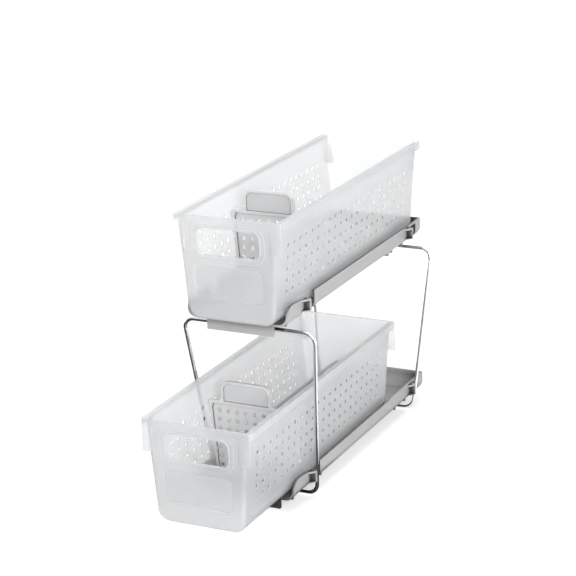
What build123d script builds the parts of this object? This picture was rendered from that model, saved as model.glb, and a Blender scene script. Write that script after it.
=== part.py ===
from build123d import *
import math
import os

# Two-tier slide-out organizer: two grey trays on two chrome wire frames,
# a frosted bin sliding on each tray, and a label divider plugged in each bin.
# The origin is on the floor, at the middle of the whole object's footprint.
# +X is the object's right, +Y its rear, +Z up. All sizes are in millimetres.

# How the tiers stand
tier_pitch = 231.0
base_height = 19.5
lower_bin_reach = 119.0
upper_bin_reach = 17.0
running_gap = 0.3
cut_overrun = 2.0

# Tray: a channel with a floor, two rails and a back wall
tray_length = 428.0
tray_width = 139.0
tray_floor = 3.0
tray_wall = 2.5
rail_height = 22.0
tray_edge_radius = 12.0
tray_tail_radius = 18.0
tray_corner_radius = 2.5
scoop_lean = 4.0
scoop_radius = 16.0

# Flared hooks outside the rails, which seat the wire legs from the front
hook_reach = 7.2
hook_length = 15.0
hook_flare_length = 8.5
hook_rear_overlap = 1.5
hook_strap = 2.0
hook_strap_drop = 2.3
hook_top = 20.0
hook_foot = 4.2
hook_sill = 1.4
hook_cheek = 4.2
notch_floor = 13.0
notch_ramp = 20.0
notch_start = 1.5
rail_slot_start = 3.0
rail_slot_end = 22.5
rear_slot_top = 19.0

# Ribs under the tray floor
foot_width = 92.0
foot_thickness = 5.0
foot_setback = 7.0
rear_foot_setback = 64.0
saddle_spacing = 30.0
saddle_thickness = 3.0
saddle_lift = 1.5
saddle_end = 7.0
nub_length = 4.0
nub_height = 1.5
nub_width = 5.0
nub_inset = 3.0
nub_place_shares = (0.02, 0.212, 0.785, 0.869)

# Chrome wire frames, one front and one rear
wire_diameter = 5.0
wire_clearance = 0.05
frame_top_width = 185.0
frame_floor_width = 148.0
frame_top_bend = 14.0
frame_foot_bend = 16.0
front_leg_place = 59.5
front_bar_place = 29.0
rear_leg_setback = 44.5
rear_bar_setback = 18.5

# Bin: a tapered tub with a rolled rim
bin_length = 438.0
bin_width = 150.0
bin_height = 134.0
bin_wall = 1.8
bin_floor = 2.0
bin_side_overhang = 5.5
bin_end_overhang = 1.5
bin_foot_width = 119.0
bin_end_inset = 1.0
bin_foot_radius = 16.0
bin_front_edge_radius = 5.0
bin_rear_edge_radius = 8.0
rim_corner_radius = 5.0
rim_thickness = 2.0
rim_edge_radius = 0.7
rim_skirt_height = 9.0
rim_skirt_thickness = 1.6
rim_band_height = 12.0
rim_band_thickness = 0.8
corner_fin_height = 42.0
corner_fin_thickness = 2.0
corner_fin_inset = 1.2

# Hand hole and label place in the bin's front
hand_hole_width = 86.0
hand_hole_height = 34.0
hand_hole_radius = 9.0
hand_hole_drop = 32.0
hand_hole_lip = 2.2
hand_hole_lip_depth = 1.0
hand_hole_pad = 7.5
hand_hole_pad_height = 0.3
label_width = 98.0
label_height = 48.0
label_radius = 11.0
label_drop = 84.5
label_recess = 0.8
label_border = 2.4
label_border_depth = 0.4
label_thickness = 0.4
label_play = 0.3

# Perforated panel in each side wall
panel_recess = 0.5
panel_end_margin = 12.0
panel_top_drop = 19.0
panel_sill = 19.0
panel_radius = 12.0
hole_columns = 22
hole_rows = 5
hole_pitch = 17.25
hole_height_pitch = 15.0
hole_diameter = 5.2
hole_dish_diameter = 7.6
hole_dish_depth = 0.4
first_hole_place = 35.0
top_hole_drop = 36.5

# Divider: a framed, perforated plate with a label tab
divider_thickness = 5.0
divider_web = 2.0
divider_border = 4.0
divider_play = 0.4
divider_top_drop = 30.0
divider_lift = 3.0
divider_corner_radius = 14.0
divider_hole_diameter = 6.3
divider_hole_pitch = 12.5
divider_hole_columns = 9
divider_hole_rows = 7
tab_width = 70.0
tab_height = 28.0
tab_radius = 12.0
tab_flare_radius = 7.0
tab_shift = -11.0
tab_border = 3.2
tab_recess = 1.0
peg_diameter = 4.8
peg_root = 6.0
peg_proud = 0.5
upper_divider_column = 7
lower_divider_column = 8

# Places worked out from the sizes above
overall_length = lower_bin_reach + tray_length
tray_front = lower_bin_reach - overall_length / 2
wire_radius = wire_diameter / 2
rear_leg_place = tray_length - rear_leg_setback
rear_bar_place = tray_length - rear_bar_setback
lower_floor = base_height
upper_floor = base_height + tier_pitch
bar_drop = base_height - wire_radius
bin_wall_width = bin_width - 2 * bin_side_overhang
bin_taper = math.atan((bin_wall_width - bin_foot_width) / 2 / bin_height)
end_taper = math.atan(bin_end_inset / bin_height)


def box_between(low, high):
    """Box from its lowest corner to its highest one."""
    size = [b - a for a, b in zip(low, high)]
    middle = [(a + b) / 2 for a, b in zip(low, high)]
    return Pos(*middle) * Box(*size)


def filleted_polygon(points, radii):
    """Closed flat outline with its own corner radius at each point."""
    return make_face(FilletPolyline(*points, radius=radii, close=True))


def across(outline, near, far):
    """Outline drawn in Y and Z, extruded along X between two places."""
    return extrude(Plane.YZ.offset(near) * outline, amount=far - near)


def along(outline, near, far):
    """Outline drawn in X and Z, extruded along Y between two places."""
    plane = Plane(origin=(0, near, 0), x_dir=(1, 0, 0), z_dir=(0, -1, 0))
    return extrude(plane * outline, amount=near - far)


def leg_line(leg_place, bar_place, side):
    """Where a leg meets the tray floor's top, and its upward direction."""
    foot = Vector(side * frame_floor_width / 2, leg_place, 0)
    top = Vector(side * frame_top_width / 2, bar_place, tier_pitch - bar_drop)
    return foot, (top - foot).normalized()


def leg_at_height(leg_place, bar_place, side, height):
    """Point of the leg's centre line at a height above the tray floor."""
    foot, direction = leg_line(leg_place, bar_place, side)
    return foot + direction * (height / direction.Z)


def tray_shell():
    """The tray's channel: floor, rails, back wall and scooped front."""
    half = tray_width / 2
    top = rail_height
    section = filleted_polygon(
        [(-half, -tray_floor), (half, -tray_floor), (half, top), (-half, top)],
        [tray_edge_radius, tray_edge_radius, 0, 0],
    )
    side_view = filleted_polygon(
        [
            (0, -tray_floor),
            (tray_length, -tray_floor),
            (tray_length, top),
            (scoop_lean, top),
            (0, 0),
        ],
        [0, tray_tail_radius, 0, scoop_radius, 0],
    )
    plan = filleted_polygon(
        [(-half, 0), (half, 0), (half, tray_length), (-half, tray_length)],
        [0, 0, tray_corner_radius, tray_corner_radius],
    )
    body = along(section, 0, tray_length) & across(side_view, -half, half)
    return body & extrude(Pos(0, 0, -tray_floor) * plan, amount=tray_floor + top)


def tray_cavity():
    """The space inside the channel, open at the top and the front."""
    half = tray_width / 2 - tray_wall
    top = rail_height + cut_overrun
    end = tray_length - tray_wall
    section = filleted_polygon(
        [(-half, 0), (half, 0), (half, top), (-half, top)],
        [tray_edge_radius - tray_wall, tray_edge_radius - tray_wall, 0, 0],
    )
    side_view = filleted_polygon(
        [(-cut_overrun, 0), (end, 0), (end, top), (-cut_overrun, top)],
        [0, tray_tail_radius - tray_floor, 0, 0],
    )
    return along(section, -cut_overrun, end) & across(side_view, -half, half)


def hook_block(seat, side):
    """Flared block on a rail's outer face, ending level with the leg's front."""
    face = tray_width / 2
    start = seat - hook_length
    end = seat - hook_rear_overlap
    outline = filleted_polygon(
        [
            (side * (face - tray_wall / 2), start),
            (side * face, start),
            (side * (face + hook_reach), start + hook_flare_length),
            (side * (face + hook_reach), end),
            (side * (face - tray_wall / 2), end),
        ],
        0,
    )
    return extrude(Pos(0, 0, hook_foot) * outline, amount=hook_top - hook_foot)


def hook_cuts(seat, side):
    """Pocket between the slanting strap and its sill, and the opening behind them."""
    face = tray_width / 2
    far = face + hook_reach + cut_overrun
    start = seat - hook_length
    cheek_front = seat - hook_rear_overlap - hook_cheek
    slope = hook_reach / hook_flare_length
    strap_run = hook_strap * math.hypot(1, slope) / slope
    pocket = box_between(
        (min(side * face, side * far), start - cut_overrun, hook_foot + hook_sill),
        (max(side * face, side * far), cheek_front, hook_top - hook_strap_drop),
    )
    opening = filleted_polygon(
        [
            (side * face, start + strap_run),
            (side * (face + (cheek_front - start - strap_run) * slope), cheek_front),
            (side * face, cheek_front),
        ],
        0,
    )
    return [pocket, extrude(Pos(0, 0, hook_foot + hook_sill) * opening, amount=rail_height)]


def rail_notch(seat, side):
    """Step cut down through a front rail beside its hook."""
    outer = tray_width / 2
    start = seat - hook_length
    outline = filleted_polygon(
        [
            (start - notch_ramp, rail_height),
            (start, hook_top),
            (start + notch_start, notch_floor),
            (seat + rail_slot_end, notch_floor),
            (seat + rail_slot_end, rail_height + cut_overrun),
            (start - notch_ramp, rail_height + cut_overrun),
        ],
        0,
    )
    near = min(side * (outer - 2 * tray_wall), side * (outer + cut_overrun))
    return across(outline, near, near + 2 * tray_wall + cut_overrun)


def rail_slot(seat, side, top):
    """Slot through a rail behind its hook, which lets the hook spring."""
    inner = side * (tray_width / 2 - tray_wall - cut_overrun)
    outer = side * (tray_width / 2 + cut_overrun)
    return box_between(
        (min(inner, outer), seat + rail_slot_start, 0),
        (max(inner, outer), seat + rail_slot_end, top),
    )


def saddle_ribs(front, rear):
    """Pair of long ribs under the floor, which the crossbars snap into."""
    ribs = []
    for side in (-1, 1):
        middle = side * saddle_spacing
        ribs.append(
            box_between(
                (middle - saddle_thickness / 2, front, saddle_lift - base_height),
                (middle + saddle_thickness / 2, rear, 0),
            )
        )
    return ribs


def leg_bore(leg_place, bar_place, side):
    """Round seat for a leg, cut along its whole slope through the hook."""
    foot, direction = leg_line(leg_place, bar_place, side)
    bore_plane = Plane(origin=foot, z_dir=direction)
    return bore_plane * Cylinder(wire_radius + wire_clearance, 2 * (rail_height + tray_floor))


def bar_groove(place):
    """Round groove for a crossbar, open below, across both ribs."""
    groove = Rotation(0, 90, 0) * Cylinder(wire_radius + wire_clearance, foot_width)
    return Pos(0, place, -bar_drop) * groove


def make_tray():
    """Tray with its front edge at Y 0 and its floor's top at Z 0."""
    front_bar_low = leg_at_height(front_leg_place, front_bar_place, 1, -bar_drop).Y
    rear_bar_low = leg_at_height(rear_leg_place, rear_bar_place, 1, -bar_drop).Y
    rear_foot = tray_length - rear_foot_setback
    body = tray_shell()
    for foot_front in (foot_setback, rear_foot):
        body += box_between(
            (-foot_width / 2, foot_front, -base_height),
            (foot_width / 2, foot_front + foot_thickness, 0),
        )
    for rib in saddle_ribs(foot_setback, front_bar_low + saddle_end):
        body += rib
    for rib in saddle_ribs(rear_foot, rear_bar_place + saddle_end):
        body += rib
    for share in nub_place_shares:
        for side in (-1, 1):
            nub = Box(nub_width, nub_length, nub_height * 2)
            middle = side * (tray_width / 2 - nub_inset - nub_width)
            body += Pos(middle, share * tray_length + nub_length / 2, -tray_floor) * nub
    body -= tray_cavity()
    for leg_place, bar_place in wire_places():
        seat = leg_at_height(leg_place, bar_place, 1, hook_top).Y
        is_front = leg_place == front_leg_place
        for side in (-1, 1):
            if is_front:
                body -= rail_notch(seat, side)
            body -= rail_slot(seat, side, notch_floor if is_front else rear_slot_top)
            body += hook_block(seat, side)
            body -= hook_cuts(seat, side)
            body -= leg_bore(leg_place, bar_place, side)
    for place in (front_bar_place, front_bar_low, rear_bar_low, rear_bar_place):
        body -= bar_groove(place)
    return body


def wire_places():
    """Leg and top crossbar places of the front and the rear frame."""
    return ((front_leg_place, front_bar_place), (rear_leg_place, rear_bar_place))


def make_wire_frame(leg_place, bar_place):
    """Closed wire loop: top bar, two legs and the bar under the lower tray."""
    low_right = leg_at_height(leg_place, bar_place, 1, -bar_drop)
    low_left = leg_at_height(leg_place, bar_place, -1, -bar_drop)
    high_right = leg_at_height(leg_place, bar_place, 1, tier_pitch - bar_drop)
    high_left = leg_at_height(leg_place, bar_place, -1, tier_pitch - bar_drop)
    start = (low_left + low_right) / 2
    path = FilletPolyline(
        start,
        low_right,
        high_right,
        high_left,
        low_left,
        start,
        radius=[0, frame_foot_bend, frame_top_bend, frame_top_bend, frame_foot_bend],
    )
    section = Plane(origin=start, z_dir=(1, 0, 0)) * Circle(wire_radius)
    return sweep(section, path=path)


def tub(half_foot, half_top, front, rear, low, high, foot_radius, taper_end):
    """Tapered solid with rounded long bottom edges and sloping ends."""
    section = filleted_polygon(
        [(-half_foot, low), (half_foot, low), (half_top, high), (-half_top, high)],
        [foot_radius, foot_radius, 0, 0],
    )
    side_view = filleted_polygon(
        [(front + taper_end, low), (rear - taper_end, low), (rear, high), (front, high)],
        0,
    )
    return along(section, front, rear) & across(side_view, -half_top, half_top)


def end_face_edges(body, at_rear):
    """U-shaped run of edges round a tub's front or rear wall, without its top."""
    faces = body.faces().sort_by(Axis.Y)
    end_face = faces[-1] if at_rear else faces[0]
    return end_face.edges().sort_by(Axis.Z)[:-1]


def wall_half_width(height, inset):
    """Half width of the bin's wall at a height, less an inset from outside."""
    return bin_foot_width / 2 + height * math.tan(bin_taper) - inset / math.cos(bin_taper)


def bin_outer():
    """The bin's outer form without its rim."""
    body = tub(
        bin_foot_width / 2,
        bin_wall_width / 2,
        bin_end_overhang,
        bin_length - bin_end_overhang,
        0,
        bin_height,
        bin_foot_radius,
        bin_end_inset,
    )
    body = fillet(end_face_edges(body, False), bin_front_edge_radius)
    return fillet(end_face_edges(body, True), bin_rear_edge_radius)


def bin_cavity():
    """The space inside the bin, run past its top."""
    high = bin_height + cut_overrun
    front = bin_end_overhang + bin_wall
    rear = bin_length - front
    over = cut_overrun * math.tan(end_taper)
    body = tub(
        wall_half_width(bin_floor, bin_wall),
        wall_half_width(high, bin_wall),
        front - over,
        rear + over,
        bin_floor,
        high,
        bin_foot_radius - bin_wall,
        bin_end_inset + over,
    )
    body = fillet(end_face_edges(body, False), bin_front_edge_radius - bin_wall)
    return fillet(end_face_edges(body, True), bin_rear_edge_radius - bin_wall)


def rim_outline(inset):
    """Rounded plan outline of the rim, inset all round."""
    radius = max(rim_corner_radius - inset, rim_thickness)
    outline = RectangleRounded(bin_width - 2 * inset, bin_length - 2 * inset, radius)
    return Pos(0, bin_length / 2) * outline


def rim():
    """Rolled rim: a flat top, a skirt and a deeper band across both ends."""
    top = extrude(Pos(0, 0, bin_height - rim_thickness) * rim_outline(0), amount=rim_thickness)
    top = fillet(top.edges().group_by(Axis.Z)[-1], rim_edge_radius)
    skirt_plan = rim_outline(0) - rim_outline(rim_skirt_thickness)
    skirt = extrude(Pos(0, 0, bin_height - rim_skirt_height) * skirt_plan, amount=rim_skirt_height)
    body = top + skirt
    band_half = bin_wall_width / 2 - rim_skirt_thickness
    for front in (bin_end_overhang - rim_band_thickness, bin_length - bin_end_overhang - bin_wall):
        body += box_between(
            (-band_half, front, bin_height - rim_band_height),
            (band_half, front + rim_band_thickness + bin_wall, bin_height),
        )
    return body


def corner_fins():
    """Four thin upright fins that join the rim to the walls at the corners."""
    fins = []
    low = bin_height - corner_fin_height
    outer = bin_width / 2 - corner_fin_inset
    inner = wall_half_width(low, bin_wall) - bin_front_edge_radius
    for front in (0, bin_length - corner_fin_thickness):
        for side in (-1, 1):
            fins.append(
                box_between(
                    (min(side * inner, side * outer), front, low),
                    (
                        max(side * inner, side * outer),
                        front + corner_fin_thickness,
                        bin_height - rim_thickness / 2,
                    ),
                )
            )
    return fins


def side_panel_plane(side):
    """Plane on a side wall's outer face, at the middle of the hole pattern."""
    height = bin_height - top_hole_drop - (hole_rows - 1) / 2 * hole_height_pitch * math.cos(bin_taper)
    middle = first_hole_place + (hole_columns - 1) / 2 * hole_pitch
    normal = (side * math.cos(bin_taper), 0, -math.sin(bin_taper))
    origin = (side * wall_half_width(height, 0), middle, height)
    return Plane(origin=origin, x_dir=(0, side, 0), z_dir=normal)


def front_plane(drop):
    """Plane on the front wall's outer face, at a drop below the rim's top."""
    height = bin_height - drop
    front = bin_end_overhang + bin_end_inset * drop / bin_height
    normal = (0, -math.cos(end_taper), -math.sin(end_taper))
    return Plane(origin=(0, front, height), x_dir=(1, 0, 0), z_dir=normal)


def side_panel_cuts(side):
    """Shallow panel, its dished hole seats and the holes through one wall."""
    plane = side_panel_plane(side)
    origin = plane.origin
    low = (panel_sill - origin.Z) / math.cos(bin_taper)
    high = (bin_height - panel_top_drop - origin.Z) / math.cos(bin_taper)
    length = bin_length - 2 * panel_end_margin
    shift = side * (bin_length / 2 - origin.Y)
    panel = Pos(shift, (low + high) / 2) * RectangleRounded(length, high - low, panel_radius)
    places = GridLocations(hole_pitch, hole_height_pitch, hole_columns, hole_rows)
    dishes = Sketch() + [place * Circle(hole_dish_diameter / 2) for place in places]
    holes = Sketch() + [place * Circle(hole_diameter / 2) for place in places]
    return [
        extrude(plane * panel, amount=-panel_recess),
        extrude(plane * dishes, amount=-panel_recess - hole_dish_depth),
        extrude(plane * holes, amount=-bin_wall - cut_overrun),
    ]


def make_bin():
    """Bin with its front rim at Y 0 and its underside at Z 0."""
    body = bin_outer() + rim()
    for fin in corner_fins():
        body += fin
    body -= bin_cavity()
    hole_plane = front_plane(hand_hole_drop)
    pad_outline = RectangleRounded(
        hand_hole_width + 2 * hand_hole_pad,
        hand_hole_height + 2 * hand_hole_pad,
        hand_hole_radius + hand_hole_pad,
    )
    body += extrude(hole_plane.offset(-bin_wall / 2) * pad_outline, amount=bin_wall / 2 + hand_hole_pad_height)
    lip_outline = RectangleRounded(
        hand_hole_width + 2 * hand_hole_lip,
        hand_hole_height + 2 * hand_hole_lip,
        hand_hole_radius + hand_hole_lip,
    )
    hole_outline = RectangleRounded(hand_hole_width, hand_hole_height, hand_hole_radius)
    lip_back = bin_wall + hand_hole_lip_depth
    body += extrude(hole_plane.offset(-lip_back) * lip_outline, amount=lip_back + hand_hole_lip_depth)
    body -= extrude(
        hole_plane.offset(-lip_back - cut_overrun) * hole_outline,
        amount=lip_back + hand_hole_lip_depth + 2 * cut_overrun,
    )
    label_place = front_plane(label_drop)
    for inset, depth in ((0, label_border_depth), (label_border, label_recess)):
        body -= extrude(label_place.offset(-depth) * label_frame(inset), amount=depth + cut_overrun)
    for side in (-1, 1):
        body -= side_panel_cuts(side)
    return body


def label_frame(inset):
    """Rounded outline of the label place, inset all round."""
    return RectangleRounded(label_width - 2 * inset, label_height - 2 * inset, label_radius - inset)


def make_bin_label():
    """Bare clear label that lies in the recess of the bin's front."""
    outline = label_frame(label_border + label_play)
    return extrude(front_plane(label_drop).offset(-label_recess) * outline, amount=label_thickness)


def divider_half_width(height):
    """Half width of the divider at a height, clear of the bin's walls."""
    return wall_half_width(height, bin_wall) - divider_play


def divider_outline():
    """Plate with its label tab, seen from the front."""
    low = divider_lift
    top = bin_height - divider_top_drop
    tab_top = top + tab_height
    tab_left = tab_shift - tab_width / 2
    tab_right = tab_shift + tab_width / 2
    half_low = divider_half_width(low)
    half_top = divider_half_width(top)
    return filleted_polygon(
        [
            (-half_low, low),
            (half_low, low),
            (half_top, top),
            (tab_right, top),
            (tab_right, tab_top),
            (tab_left, tab_top),
            (tab_left, top),
            (-half_top, top),
        ],
        [
            divider_corner_radius,
            divider_corner_radius,
            divider_border / 2,
            tab_flare_radius,
            tab_radius,
            tab_radius,
            tab_flare_radius,
            divider_border / 2,
        ],
    )


def web_outline():
    """Sunk, perforated field of the divider inside its border."""
    low = divider_lift + divider_border
    high = bin_height - divider_top_drop - divider_border
    half_low = divider_half_width(low) - divider_border
    half_high = divider_half_width(high) - divider_border
    inner_radius = divider_corner_radius - divider_border
    return filleted_polygon(
        [(-half_low, low), (half_low, low), (half_high, high), (-half_high, high)],
        [inner_radius, inner_radius, divider_border / 2, divider_border / 2],
    )


def tab_label_outline(play):
    """Label place in the tab: flat below, with rounded upper corners."""
    low = bin_height - divider_top_drop + play
    high = low + tab_height - tab_border - 2 * play
    half = tab_width / 2 - tab_border - play
    radius = tab_radius - tab_border - play
    left = tab_shift - half
    right = tab_shift + half
    return filleted_polygon([(left, low), (right, low), (right, high), (left, high)], [0, 0, radius, radius])


def make_divider():
    """Divider with the middle of its thickness at Y 0 and the bin's floor at Z 0."""
    half = divider_thickness / 2
    body = along(divider_outline(), -half, half)
    sink = (divider_thickness - divider_web) / 2
    body -= along(web_outline(), -half - cut_overrun, -half + sink)
    body -= along(web_outline(), half - sink, half + cut_overrun)
    middle = (divider_lift + bin_height - divider_top_drop) / 2
    places = GridLocations(divider_hole_pitch, divider_hole_pitch, divider_hole_columns, divider_hole_rows)
    holes = Sketch() + [place * Circle(divider_hole_diameter / 2) for place in places]
    body -= along(Pos(0, middle) * holes, -half, half)
    body -= along(tab_label_outline(0), -half - cut_overrun, -half + tab_recess)
    rows_down = (hole_rows - 1) * hole_height_pitch * math.cos(bin_taper)
    for drop in (top_hole_drop, top_hole_drop + rows_down):
        height = bin_height - drop
        root = divider_half_width(height) - peg_root
        tip = wall_half_width(height, 0) + peg_proud
        for side in (-1, 1):
            peg = Rotation(0, 90, 0) * Cylinder(peg_diameter / 2, tip - root)
            body += Pos(side * (root + tip) / 2, 0, height) * peg
    return body


def make_divider_label():
    """Bare card that lies in the recess of the divider's tab."""
    floor = tab_recess - divider_thickness / 2
    return along(tab_label_outline(label_play), floor - label_thickness, floor)


def column_place(column):
    """Distance from the bin's front rim to a column of holes."""
    return first_hole_place + (column - 1) * hole_pitch


def build_parts():
    """Every piece by name, in its place."""
    tray = make_tray()
    tub_body = make_bin()
    bin_label = make_bin_label()
    divider = make_divider()
    divider_label = make_divider_label()
    frames = [make_wire_frame(*places) for places in wire_places()]
    parts = {
        "lower_tray": Pos(0, tray_front, lower_floor) * tray,
        "upper_tray": Pos(0, tray_front, upper_floor) * tray,
        "front_wire_frame": Pos(0, tray_front, lower_floor) * frames[0],
        "rear_wire_frame": Pos(0, tray_front, lower_floor) * frames[1],
    }
    tiers = (
        ("lower", lower_floor, lower_bin_reach, lower_divider_column),
        ("upper", upper_floor, upper_bin_reach, upper_divider_column),
    )
    for tier, floor, reach, column in tiers:
        bin_place = Pos(0, tray_front - reach, floor + running_gap)
        divider_place = bin_place * Pos(0, column_place(column), 0)
        parts[tier + "_bin"] = bin_place * tub_body
        parts[tier + "_bin_label"] = bin_place * bin_label
        parts[tier + "_divider"] = divider_place * divider
        parts[tier + "_divider_label"] = divider_place * divider_label
    return parts


def main():
    os.makedirs("parts", exist_ok=True)
    for name, shape in build_parts().items():
        shape.label = name
        export_step(shape, os.path.join("parts", name + ".step"))


if __name__ == "__main__":
    main()
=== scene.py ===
import math

import bpy
from mathutils import Matrix, Vector


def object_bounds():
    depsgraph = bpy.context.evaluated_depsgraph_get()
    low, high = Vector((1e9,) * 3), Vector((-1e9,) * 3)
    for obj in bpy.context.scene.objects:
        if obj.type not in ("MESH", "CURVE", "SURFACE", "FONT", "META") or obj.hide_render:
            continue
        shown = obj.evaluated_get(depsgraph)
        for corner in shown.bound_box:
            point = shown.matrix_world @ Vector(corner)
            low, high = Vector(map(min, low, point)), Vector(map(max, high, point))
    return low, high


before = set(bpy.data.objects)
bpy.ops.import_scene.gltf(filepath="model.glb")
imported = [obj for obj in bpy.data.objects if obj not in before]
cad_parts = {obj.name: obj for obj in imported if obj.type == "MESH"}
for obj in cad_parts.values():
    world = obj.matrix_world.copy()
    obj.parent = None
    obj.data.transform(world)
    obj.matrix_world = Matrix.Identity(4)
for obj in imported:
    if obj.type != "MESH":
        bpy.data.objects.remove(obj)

CAD_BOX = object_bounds()

bl_info = {
    "name": "Slide-out organizer",
    "version": (1, 0, 0),
    "blender": (4, 5, 0),
    "location": "View3D > Sidebar > Organizer",
    "description": "Finishes a two-tier slide-out organizer and its studio",
    "category": "Object",
}

TRAYS = ("lower_tray", "upper_tray")
WIRE_FRAMES = ("front_wire_frame", "rear_wire_frame")
BINS = ("lower_bin", "upper_bin")
DIVIDERS = ("lower_divider", "upper_divider")
LABELS = ("lower_bin_label", "upper_bin_label", "lower_divider_label", "upper_divider_label")

# Numbers of the finishes. A pattern is a noise's waves per metre and its levels of detail.
# A range is the two values between which a mask goes from 0 to 1. Lengths are in metres.

CLOUD_RANGE = (0.3, 0.7)
CLOUD_MIDDLE = 0.5
EDGE_RANGE = (0.002, 0.12)
EDGE_SAMPLES = 6
# The hollow numbers set the mask of painted shade, taken from ambient occlusion.
PAINTED_SHADE_RANGE = (0.14, 0.5)
PAINTED_SHADE_SAMPLES = 8

GREY_IOR = 1.5
GREY_CLOUD = (14.0, 3.0)
GREY_GRAIN = (2600.0, 2.0)
GREY_DARKEST = 0.93
# The palest grey serves both the painted highlight along edges and the rub wear; the edge share
# sets that painted highlight.
GREY_HIGHLIGHT_AND_WEAR_PALEST = 1.16
GREY_EDGE_HIGHLIGHT_SHARE = 0.6
GREY_CLOUD_ROUGHNESS = 0.12
# Painted shade in hollows: its dark colour, and how far it looks on trays and on dividers.
PAINTED_SHADE_COLOUR = (0.02, 0.02, 0.022)
TRAY_PAINTED_SHADE_REACH = 0.045
DIVIDER_PAINTED_SHADE_REACH = 0.006

RUB_PATTERN = (1.0, 3.0)
RUB_STRETCH = (700.0, 6.0, 20.0)
RUB_RANGE = (0.56, 0.7)
RUBBED_FACE_RANGE = (0.9, 0.98)
RUB_PALENESS = 0.35
RUB_POLISH = 0.12

CHROME_SMUDGE = (60.0, 4.0)
CHROME_WAVE = (45.0, 1.0)
CHROME_WAVE_DEPTH = 0.0002
SMUDGE_COLOUR_RANGE = (0.45, 0.7)
SMUDGE_BRIGHTNESS = 0.9
SMUDGE_ROUGH_RANGE = (0.5, 0.75)
SMUDGE_ROUGHNESS = 0.08

FROST_IOR = 1.49
FROST_CLOUD = (9.0, 3.0)
FROST_GRAIN = (1800.0, 2.0)
FROST_GRAIN_DEPTH = 0.00004
FROST_COOLING = (0.97, 0.985, 1.0)
FROST_CLOUD_ROUGHNESS = 0.08
# Painted highlight along the frosted edges: its colour, its share, and the opacity it adds.
FROST_EDGE_HIGHLIGHT_COLOUR = (0.97, 0.975, 0.98)
FROST_EDGE_HIGHLIGHT_SHARE = 0.5
FROST_EDGE_HIGHLIGHT_OPACITY = 0.3
LOW_ANGLE_BLEND = 0.3
LOW_ANGLE_RANGE = (0.3, 0.9)
LOW_ANGLE_BRIGHTNESS = 0.72

FILM_CLOUD = (40.0, 3.0)
FILM_BRIGHTNESS = 0.98
FILM_ROUGHNESS = 0.16
FILM_CLOUD_ROUGHNESS = 0.1
FILM_ALPHA = 0.22
FILM_CLEARANCE = 0.00005

# Numbers of the stage. Places are in metres from the point of the floor under the object's
# middle, with the object's front towards -Y, and angles are in degrees.

FLOOR_GAP = 0.0005
FLOOR_GLOW = 1.1
FLOOR_GLOW_NEAR = (0.5, 0.5, 0.5)
FLOOR_GLOW_FAR = (1.0, 1.0, 1.0)
FLOOR_GLOW_RANGE = (0.35, 1.4)

LAMP_TARGET = (0, 0, 0.2)
KEY_PLACE = (0.05, -0.1, 1.6)
KEY_SIZE = 0.9
SIDE_PLACE = (1.15, -1.4, 0.75)
SIDE_SIZE = 0.9
REAR_PLACE = (-1.3, 1.3, 0.9)
REAR_SIZE = 1.0

FLAG_COLOUR = (0.1, 0.1, 0.1)
FLOOR_FLAG = (
    (-1.5, -1.6, 0.002),
    (0.95, -1.45, 0.002),
    (0.17, -0.05, 0.002),
    (-1.5, 0.9, 0.002),
)
LEFT_FLAG = (
    (-1.5, -0.9, 0),
    (0.25, -2.6, 0),
    (0.25, -2.6, 1.1),
    (-1.5, -0.9, 1.1),
)

CAMERA_PLACE = (1.0661, -2.1266, 1.0170)
CAMERA_AZIMUTH = 26.74
CAMERA_ELEVATION = 17.99
CAMERA_ROLL = -2.13
CAMERA_NEAREST = 0.01
SENSOR_WIDTH = 36


# Settings that a user would change

class PlasticSettings(bpy.types.PropertyGroup):
    """Colours and surface of the moulded grey plastic."""

    grey: bpy.props.FloatVectorProperty(
        name="Grey", description="Colour of the trays", subtype="COLOR",
        size=3, min=0, max=1, default=(0.56, 0.56, 0.565))
    divider_grey: bpy.props.FloatVectorProperty(
        name="Divider grey", description="Colour of the dividers", subtype="COLOR",
        size=3, min=0, max=1, default=(0.8, 0.8, 0.805))
    roughness: bpy.props.FloatProperty(
        name="Roughness", description="Roughness of the satin moulding",
        subtype="FACTOR", min=0, max=1, default=0.42)
    edge_width: bpy.props.FloatProperty(
        name="Edge width", description="Radius of the softened moulded edges",
        unit="LENGTH", min=0.0001, max=0.003, default=0.0005)
    # Strength of the painted shade in hollows
    painted_shade_strength: bpy.props.FloatProperty(
        name="Hollow shade", description="How dark the plastic gets in narrow hollows",
        subtype="FACTOR", min=0, max=1, default=0.95)
    grain_depth: bpy.props.FloatProperty(
        name="Grain depth", description="Depth of the fine moulded grain",
        unit="LENGTH", min=0, max=0.001, default=0.00003)


class FrostSettings(bpy.types.PropertyGroup):
    """Colour and haze of the frosted bins and of their clear film."""

    tint: bpy.props.FloatVectorProperty(
        name="Tint", description="Colour of the frosted plastic", subtype="COLOR",
        size=3, min=0, max=1, default=(0.9, 0.905, 0.912))
    see_through: bpy.props.FloatProperty(
        name="See-through", description="Share of the scattered light that comes from behind",
        subtype="FACTOR", min=0, max=1, default=0.35)
    haze: bpy.props.FloatProperty(
        name="Haze", description="How much of the light the frosted wall scatters",
        subtype="FACTOR", min=0, max=1, default=0.45)
    edge_haze: bpy.props.FloatProperty(
        name="Edge haze", description="How much it scatters where it is seen at a low angle",
        subtype="FACTOR", min=0, max=1, default=0.7)
    roughness: bpy.props.FloatProperty(
        name="Roughness", description="Roughness of the frosted face",
        subtype="FACTOR", min=0, max=1, default=0.35)
    edge_width: bpy.props.FloatProperty(
        name="Edge width", description="Radius of the softened rim and hole edges",
        unit="LENGTH", min=0.0001, max=0.003, default=0.0006)


class WireSettings(bpy.types.PropertyGroup):
    """Finish of the chromed wire."""

    chrome: bpy.props.FloatVectorProperty(
        name="Chrome", description="Colour of the chrome", subtype="COLOR",
        size=3, min=0, max=1, default=(0.82, 0.83, 0.84))
    roughness: bpy.props.FloatProperty(
        name="Roughness", description="Roughness of the polished wire",
        subtype="FACTOR", min=0, max=1, default=0.06)


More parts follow.
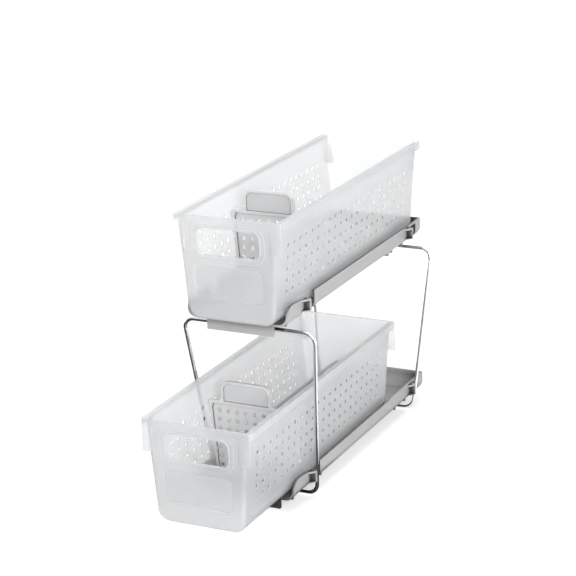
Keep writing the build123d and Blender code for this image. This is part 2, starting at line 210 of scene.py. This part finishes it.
class StudioSettings(bpy.types.PropertyGroup):
    """Floor, lamps and camera."""

    floor_size: bpy.props.FloatProperty(
        name="Floor size", description="Length of the floor's side",
        unit="LENGTH", min=1, max=100, default=30)
    floor_grey: bpy.props.FloatProperty(
        name="Floor grey", description="Brightness of the floor's own colour",
        subtype="FACTOR", min=0, max=1, default=0.86)
    ambient: bpy.props.FloatProperty(
        name="Ambient", description="Strength of the even light from all round",
        min=0, max=2, default=0.24)
    key_power: bpy.props.FloatProperty(
        name="Key power", description="Power of the soft lamp above",
        unit="POWER", min=0, max=500, default=11)
    side_power: bpy.props.FloatProperty(
        name="Side power", description="Power of the soft lamp at the front right",
        unit="POWER", min=0, max=500, default=23)
    rear_power: bpy.props.FloatProperty(
        name="Rear power", description="Power of the soft lamp at the rear left",
        unit="POWER", min=0, max=500, default=2)
    focal_length: bpy.props.FloatProperty(
        name="Focal length", description="Focal length on a 36 mm sensor, in millimetres",
        min=10, max=500, default=119.86)


# Shader maths

# The Mix node's sockets for colours, which share their names with its sockets for numbers
MIX_AMOUNT, MIX_ONE, MIX_OTHER = 0, 6, 7
MIX_RESULT = 2


class Value:
    """Wraps a socket, so that sums and products of it add Math nodes."""

    def __init__(self, shader, socket):
        self.shader = shader
        self.socket = socket

    def math(self, operation, *terms):
        settings = {"operation": operation}
        return self.shader.node("ShaderNodeMath", settings, dict(enumerate(terms))).value()

    def __add__(self, other):
        return self.math("ADD", self, other)

    def __mul__(self, other):
        return self.math("MULTIPLY", self, other)

    def __sub__(self, other):
        return self.math("SUBTRACT", self, other)

    def __rsub__(self, other):
        return self.math("SUBTRACT", other, self)

    __radd__ = __add__
    __rmul__ = __mul__

    def step(self, low, high):
        """0 below low, 1 above high, smooth between them."""
        inputs = {"Value": self, "From Min": low, "From Max": high}
        settings = {"interpolation_type": "SMOOTHSTEP"}
        return self.shader.node("ShaderNodeMapRange", settings, inputs).value()

    def clamped(self):
        return self.shader.node("ShaderNodeClamp", inputs={"Value": self}).value()


class AddedNode:
    """A node in the tree, whose outputs are taken by name or number."""

    def __init__(self, shader, node):
        self.shader = shader
        self.node = node

    def value(self, name=0):
        return Value(self.shader, self.node.outputs[name])


class Shader:
    """Adds nodes to the tree of a material or a world."""

    def __init__(self, owner, output_type):
        owner.use_nodes = True
        self.tree = owner.node_tree
        self.tree.nodes.clear()
        self.output = self.tree.nodes.new(output_type)

    def node(self, kind, settings=None, inputs=None):
        """Adds a node with its settings, then the values or links of its sockets."""
        added = self.tree.nodes.new(kind)
        for name, setting in (settings or {}).items():
            setattr(added, name, setting)
        for name, given in (inputs or {}).items():
            socket = added.inputs[name]
            if isinstance(given, Value):
                self.tree.links.new(given.socket, socket)
            elif isinstance(given, tuple) and len(given) < len(socket.default_value):
                socket.default_value = (*given, 1.0)  # a colour that gets its alpha here
            else:
                socket.default_value = given
        return AddedNode(self, added)

    def finish(self, surface):
        self.tree.links.new(surface.socket, self.output.inputs["Surface"])

    def mix(self, amount, one, other):
        """Blend of two colours."""
        inputs = {MIX_AMOUNT: amount, MIX_ONE: one, MIX_OTHER: other}
        return self.node("ShaderNodeMix", {"data_type": "RGBA"}, inputs).value(MIX_RESULT)

    def place(self):
        """Position on the piece, in metres, which moves with the piece."""
        return self.node("ShaderNodeTexCoord").value("Object")

    def distance(self):
        """Distance from the piece's origin, in metres."""
        settings = {"operation": "LENGTH"}
        return self.node("ShaderNodeVectorMath", settings, {0: self.place()}).value("Value")

    def stretched(self, place, scale):
        inputs = {"Vector": place, "Scale": scale}
        return self.node("ShaderNodeMapping", inputs=inputs).value()

    def noise(self, place, scale, detail):
        inputs = {"Vector": place, "Scale": scale, "Detail": detail}
        return self.node("ShaderNodeTexNoise", inputs=inputs).value("Fac")

    def face(self):
        """Normal of the face, before any softening."""
        return self.node("ShaderNodeNewGeometry").value("Normal")

    def up(self):
        """How far the face looks up, from -1 to 1."""
        return self.node("ShaderNodeSeparateXYZ", inputs={"Vector": self.face()}).value("Z")

    def soft_normal(self, width):
        """Normal that is rounded over the edges."""
        settings = {"samples": EDGE_SAMPLES}
        return self.node("ShaderNodeBevel", settings, {"Radius": width}).value()

    def edges(self, soft):
        """1 along the edges and 0 on flat faces; the mask of the painted edge highlights."""
        settings = {"operation": "DOT_PRODUCT"}
        inputs = {0: soft, 1: self.face()}
        likeness = self.node("ShaderNodeVectorMath", settings, inputs).value("Value")
        return (1 - likeness).step(*EDGE_RANGE)

    def painted_shade_mask(self, reach, alone):
        """Mask of painted shade: 0 on open faces, up to 1 deep in hollows of the piece alone or
        with its neighbours.
        """
        settings = {"samples": PAINTED_SHADE_SAMPLES, "only_local": alone}
        near = self.node("ShaderNodeAmbientOcclusion", settings, {"Distance": reach}).value("AO")
        return (1 - near).step(*PAINTED_SHADE_RANGE)

    def bump(self, height, distance, normal=None):
        inputs = {"Height": height, "Distance": distance, "Strength": 1.0}
        if normal is not None:
            inputs["Normal"] = normal
        return self.node("ShaderNodeBump", inputs=inputs).value()

    def seen(self):
        """1 for what the camera sees, straight, mirrored or through plastic, and else 0."""
        rays = self.node("ShaderNodeLightPath")
        straight_or_mirrored = rays.value("Is Camera Ray") + rays.value("Is Glossy Ray")
        return (straight_or_mirrored + rays.value("Is Transmission Ray")).clamped()


# Finishes

def material(name):
    made = bpy.data.materials.new(name)
    return made, Shader(made, "ShaderNodeOutputMaterial")


def toned(colour, share):
    """The colour at a share of its brightness, up to full brightness."""
    return tuple(min(channel * share, 1.0) for channel in colour)


def grey_plastic(name, settings, grey, painted_shade_reach, rubbed):
    """Satin moulded plastic with fine grain, soft edges and a painted highlight along them.

    A tray is rubbed by its bin, and the painted shade in its hollows counts what stands near
    them too.
    """
    made, shader = material(name)
    place = shader.place()
    soft = shader.soft_normal(settings.edge_width)
    edge = shader.edges(soft)
    cloud = shader.noise(place, *GREY_CLOUD)
    grain = shader.noise(place, *GREY_GRAIN)
    highlight_and_wear_colour = toned(grey, GREY_HIGHLIGHT_AND_WEAR_PALEST)
    colour = shader.mix(cloud.step(*CLOUD_RANGE), toned(grey, GREY_DARKEST), tuple(grey))
    # Painted highlight: paler colour along the edges
    colour = shader.mix(edge * GREY_EDGE_HIGHLIGHT_SHARE, colour, highlight_and_wear_colour)
    # Painted shade: darker colour in the hollows that ambient occlusion finds
    painted_shade_mask = shader.painted_shade_mask(painted_shade_reach, not rubbed)
    colour = shader.mix(painted_shade_mask * settings.painted_shade_strength, colour, PAINTED_SHADE_COLOUR)
    roughness = settings.roughness + (cloud - CLOUD_MIDDLE) * GREY_CLOUD_ROUGHNESS
    if rubbed:
        lines = shader.noise(shader.stretched(place, RUB_STRETCH), *RUB_PATTERN)
        marks = lines.step(*RUB_RANGE) * shader.up().step(*RUBBED_FACE_RANGE)
        colour = shader.mix(marks * RUB_PALENESS, colour, highlight_and_wear_colour)
        roughness = roughness - marks * RUB_POLISH
    surface = shader.node("ShaderNodeBsdfPrincipled", inputs={
        "Base Color": colour,
        "Roughness": roughness.clamped(),
        "IOR": GREY_IOR,
        "Normal": shader.bump(grain, settings.grain_depth, soft),
    })
    shader.finish(surface.value())
    return made


def chrome(name, settings):
    """Polished chrome with faint smudges and the slight waves of drawn wire."""
    made, shader = material(name)
    place = shader.place()
    smudge = shader.noise(place, *CHROME_SMUDGE)
    wave = shader.noise(place, *CHROME_WAVE)
    bright = tuple(settings.chrome)
    dull = toned(bright, SMUDGE_BRIGHTNESS)
    roughness = settings.roughness + smudge.step(*SMUDGE_ROUGH_RANGE) * SMUDGE_ROUGHNESS
    surface = shader.node("ShaderNodeBsdfPrincipled", inputs={
        "Base Color": shader.mix(smudge.step(*SMUDGE_COLOUR_RANGE), bright, dull),
        "Metallic": 1.0,
        "Roughness": roughness.clamped(),
        "Normal": shader.bump(wave, CHROME_WAVE_DEPTH),
    })
    shader.finish(surface.value())
    return made


def frosted_plastic(name, settings):
    """Translucent plastic, denser and darker at a low angle, with a painted highlight along its
    edges.
    """
    made, shader = material(name)
    place = shader.place()
    soft = shader.soft_normal(settings.edge_width)
    edge = shader.edges(soft)
    cloud = shader.noise(place, *FROST_CLOUD)
    grain = shader.noise(place, *FROST_GRAIN)
    blend = {"Blend": LOW_ANGLE_BLEND}
    low_angle = shader.node("ShaderNodeLayerWeight", inputs=blend).value("Facing")
    tint = tuple(settings.tint)
    cooler = tuple(channel * share for channel, share in zip(tint, FROST_COOLING))
    darker = toned(tint, LOW_ANGLE_BRIGHTNESS)
    colour = shader.mix(cloud.step(*CLOUD_RANGE), tint, cooler)
    colour = shader.mix(low_angle.step(*LOW_ANGLE_RANGE), colour, darker)
    # Painted highlight: paler colour along the edges
    colour = shader.mix(edge * FROST_EDGE_HIGHLIGHT_SHARE, colour, FROST_EDGE_HIGHLIGHT_COLOUR)
    roughness = settings.roughness + (cloud - CLOUD_MIDDLE) * FROST_CLOUD_ROUGHNESS
    body = settings.haze + low_angle * (settings.edge_haze - settings.haze)
    surface = shader.node("ShaderNodeBsdfPrincipled", inputs={
        "Base Color": colour,
        "Roughness": roughness.clamped(),
        "IOR": FROST_IOR,
        "Transmission Weight": settings.see_through,
        # The edges are made more opaque so that the painted highlight shows there
        "Alpha": (body + edge * FROST_EDGE_HIGHLIGHT_OPACITY).clamped(),
        "Normal": shader.bump(grain, FROST_GRAIN_DEPTH, soft),
    })
    shader.finish(surface.value())
    return made


def clear_film(name, settings):
    """Bare clear film, glossier than the frosted wall behind it."""
    made, shader = material(name)
    cloud = shader.noise(shader.place(), *FILM_CLOUD)
    tint = tuple(settings.tint)
    darker = toned(tint, FILM_BRIGHTNESS)
    surface = shader.node("ShaderNodeBsdfPrincipled", inputs={
        "Base Color": shader.mix(cloud.step(*CLOUD_RANGE), tint, darker),
        "Roughness": (FILM_ROUGHNESS + cloud * FILM_CLOUD_ROUGHNESS).clamped(),
        "IOR": FROST_IOR,
        "Alpha": FILM_ALPHA,
    })
    shader.finish(surface.value())
    return made


def dress(names, finish):
    """Gives carried-over nodes their finish."""
    for name in names:
        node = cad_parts[name]
        node.data.materials.clear()
        node.data.materials.append(finish)


# Stage

def stand_in_scene(name, data):
    """New object of the scene, from its mesh, lamp or camera."""
    stood = bpy.data.objects.new(name, data)
    bpy.context.scene.collection.objects.link(stood)
    return stood


def sheet(name, corners):
    """Flat four-cornered mesh."""
    mesh = bpy.data.meshes.new(name)
    mesh.from_pydata(corners, [], [(0, 1, 2, 3)])
    return mesh


def pale_floor(settings):
    """Wide pale floor that lets the object's shadow show."""
    half = settings.floor_size / 2
    corners = ((-half, -half, 0), (half, -half, 0), (half, half, 0), (-half, half, 0))
    mesh = sheet("floor", corners)
    floor = stand_in_scene("floor", mesh)
    floor.location.z = CAD_BOX[0].z - FLOOR_GAP
    made, shader = material("Floor")
    matt = shader.node("ShaderNodeBsdfDiffuse", inputs={"Color": (settings.floor_grey,) * 3})
    far = shader.distance().step(*FLOOR_GLOW_RANGE)
    glow = shader.node("ShaderNodeEmission", inputs={
        "Color": shader.mix(far, FLOOR_GLOW_NEAR, FLOOR_GLOW_FAR),
        "Strength": shader.seen() * FLOOR_GLOW,
    })
    both = shader.node("ShaderNodeAddShader", inputs={0: matt.value(), 1: glow.value()})
    shader.finish(both.value())
    mesh.materials.append(made)


def dark_flag(name, corners):
    """Dark card that only gloss and chrome show, as photographers use for wire."""
    mesh = sheet(name, corners)
    flag = stand_in_scene(name, mesh)
    made, shader = material(name)
    shader.finish(shader.node("ShaderNodeBsdfDiffuse", inputs={"Color": FLAG_COLOUR}).value())
    mesh.materials.append(made)
    for ray in ("camera", "diffuse", "transmission", "shadow"):
        setattr(flag, "visible_" + ray, False)


def white_world(settings):
    """White where it is seen, and an even dim light on the object."""
    world = bpy.data.worlds.new("Studio")
    bpy.context.scene.world = world
    shader = Shader(world, "ShaderNodeOutputWorld")
    strength = settings.ambient + shader.seen() * (1.0 - settings.ambient)
    surface = shader.node("ShaderNodeBackground", inputs={
        "Color": (1.0, 1.0, 1.0),
        "Strength": strength,
    })
    shader.finish(surface.value())


def area_lamp(name, place, size, power):
    """Square soft lamp that looks at the object."""
    data = bpy.data.lights.new(name, "AREA")
    data.shape = "SQUARE"
    data.size = size
    data.energy = power
    direction = Vector(LAMP_TARGET) - Vector(place)
    turn = direction.to_track_quat("-Z", "Y").to_matrix().to_4x4()
    stand_in_scene(name, data).matrix_world = Matrix.Translation(place) @ turn


def photo_camera(settings):
    """Camera at the photograph's angle and distance."""
    azimuth = math.radians(CAMERA_AZIMUTH)
    elevation = math.radians(CAMERA_ELEVATION)
    roll = math.radians(CAMERA_ROLL)
    back = Vector((
        math.sin(azimuth) * math.cos(elevation),
        -math.cos(azimuth) * math.cos(elevation),
        math.sin(elevation),
    ))
    right = (-back).cross(Vector((0, 0, 1))).normalized()
    up = right.cross(-back)
    rolled_right = right * math.cos(roll) + up * math.sin(roll)
    rolled_up = up * math.cos(roll) - right * math.sin(roll)
    turn = Matrix((rolled_right, rolled_up, back)).transposed().to_4x4()
    data = bpy.data.cameras.new("camera")
    data.sensor_width = SENSOR_WIDTH
    data.lens = settings.focal_length
    data.clip_start = CAMERA_NEAREST
    camera = stand_in_scene("camera", data)
    camera.matrix_world = Matrix.Translation(CAMERA_PLACE) @ turn
    bpy.context.scene.camera = camera


# Operators

class ORGANIZER_OT_dress_trays(bpy.types.Operator):
    """Finish the two grey trays"""

    bl_idname = "organizer.dress_trays"
    bl_label = "Finish trays"

    def execute(self, context):
        settings = context.scene.organizer_plastic
        dress(TRAYS, grey_plastic(
            "Tray grey", settings, settings.grey, TRAY_PAINTED_SHADE_REACH, rubbed=True))
        return {"FINISHED"}


class ORGANIZER_OT_dress_wires(bpy.types.Operator):
    """Finish the two chromed wire frames"""

    bl_idname = "organizer.dress_wires"
    bl_label = "Finish wire frames"

    def execute(self, context):
        dress(WIRE_FRAMES, chrome("Wire chrome", context.scene.organizer_wire))
        return {"FINISHED"}


class ORGANIZER_OT_dress_bins(bpy.types.Operator):
    """Finish the two frosted bins"""

    bl_idname = "organizer.dress_bins"
    bl_label = "Finish bins"

    def execute(self, context):
        dress(BINS, frosted_plastic("Bin frost", context.scene.organizer_frost))
        return {"FINISHED"}


class ORGANIZER_OT_dress_dividers(bpy.types.Operator):
    """Finish the two grey dividers"""

    bl_idname = "organizer.dress_dividers"
    bl_label = "Finish dividers"

    def execute(self, context):
        settings = context.scene.organizer_plastic
        dress(DIVIDERS, grey_plastic(
            "Divider grey", settings, settings.divider_grey, DIVIDER_PAINTED_SHADE_REACH, rubbed=False))
        return {"FINISHED"}


class ORGANIZER_OT_dress_labels(bpy.types.Operator):
    """Finish the bare films in the label places, drawn in a hair from their recesses"""

    bl_idname = "organizer.dress_labels"
    bl_label = "Finish label films"

    def execute(self, context):
        dress(LABELS, clear_film("Label film", context.scene.organizer_frost))
        for name in LABELS:
            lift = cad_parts[name].modifiers.new("Clear of the recess", "DISPLACE")
            lift.mid_level = 0
            lift.strength = -FILM_CLEARANCE
        return {"FINISHED"}


class ORGANIZER_OT_build_stage(bpy.types.Operator):
    """Add the floor, the world, the lamps, the dark cards and the camera"""

    bl_idname = "organizer.build_stage"
    bl_label = "Build stage"

    def execute(self, context):
        settings = context.scene.organizer_studio
        pale_floor(settings)
        white_world(settings)
        area_lamp("key", KEY_PLACE, KEY_SIZE, settings.key_power)
        area_lamp("side", SIDE_PLACE, SIDE_SIZE, settings.side_power)
        area_lamp("rear", REAR_PLACE, REAR_SIZE, settings.rear_power)
        dark_flag("floor flag", FLOOR_FLAG)
        dark_flag("left flag", LEFT_FLAG)
        photo_camera(settings)
        context.scene.view_settings.view_transform = "Standard"
        return {"FINISHED"}


# Registration

SETTINGS = {
    "organizer_plastic": PlasticSettings,
    "organizer_frost": FrostSettings,
    "organizer_wire": WireSettings,
    "organizer_studio": StudioSettings,
}
OPERATORS = (
    ORGANIZER_OT_dress_trays,
    ORGANIZER_OT_dress_wires,
    ORGANIZER_OT_dress_bins,
    ORGANIZER_OT_dress_dividers,
    ORGANIZER_OT_dress_labels,
    ORGANIZER_OT_build_stage,
)


class VIEW3D_PT_organizer(bpy.types.Panel):
    """Lists the organizer's operators and settings"""

    bl_idname = "VIEW3D_PT_organizer"
    bl_label = "Organizer"
    bl_space_type = "VIEW_3D"
    bl_region_type = "UI"
    bl_category = "Organizer"

    def draw(self, context):
        for operator in OPERATORS:
            self.layout.operator(operator.bl_idname)
        for name, group in SETTINGS.items():
            box = self.layout.box()
            for setting in group.__annotations__:
                box.prop(getattr(context.scene, name), setting)


CLASSES = (*SETTINGS.values(), *OPERATORS, VIEW3D_PT_organizer)


def register():
    for listed in CLASSES:
        bpy.utils.register_class(listed)
    for name, group in SETTINGS.items():
        setattr(bpy.types.Scene, name, bpy.props.PointerProperty(type=group))


def unregister():
    for name in SETTINGS:
        delattr(bpy.types.Scene, name)
    for listed in reversed(CLASSES):
        bpy.utils.unregister_class(listed)


def main():
    register()
    bpy.ops.organizer.dress_trays()
    bpy.ops.organizer.dress_wires()
    bpy.ops.organizer.dress_bins()
    bpy.ops.organizer.dress_dividers()
    bpy.ops.organizer.dress_labels()
    bpy.ops.organizer.build_stage()


if __name__ == "__main__":
    main()
